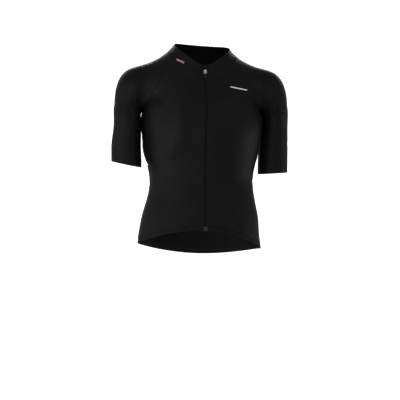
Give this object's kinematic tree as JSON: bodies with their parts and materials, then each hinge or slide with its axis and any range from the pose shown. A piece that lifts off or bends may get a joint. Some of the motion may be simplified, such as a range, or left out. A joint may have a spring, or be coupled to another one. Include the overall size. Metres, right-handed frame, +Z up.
{
  "type": "cycling jersey",
  "caption": "Short-sleeved close-fitting knit cycling jersey with a low collar, a full-length front zip, raglan sleeves and rear pockets, in its worn shape.",
  "frame": {"origin": "the middle of the jersey between the shoulders, level with the base of the neck, where the wearer's shoulders hold it up", "axes": "+Z up, +X towards the wearer's left sleeve, the zip faces -Y"},
  "size_m": [0.4635, 0.242, 0.553],
  "materials": {
    "knit": "matte",
    "band": "matte",
    "tape": "matte",
    "coil": "matte",
    "metal": "satin",
    "moulded": "satin"
  },
  "bodies": {
    "garment": {"front_right": "knit", "front_left": "knit", "back": "knit", "sleeve_right": "knit", "sleeve_left": "knit", "rear_pockets": "knit", "collar": "band", "hem_front_right": "band", "hem_front_left": "band", "hem_back": "band", "zip_garage": "band", "zip_tape_right": "tape", "zip_tape_left": "tape", "zip_coil": "coil", "zip_slider": "metal", "zip_box": "moulded"},
    "pull_tab": {"zip_pull": "moulded"}
  },
  "joints": [
    {"name": "pull_tab_swing", "type": "hinge", "parent": "garment", "child": "pull_tab", "pos_m": [0, -0.09048, -0.0596], "axis": [-1, 0, 0], "range_deg": [0, 120]}
  ]
}
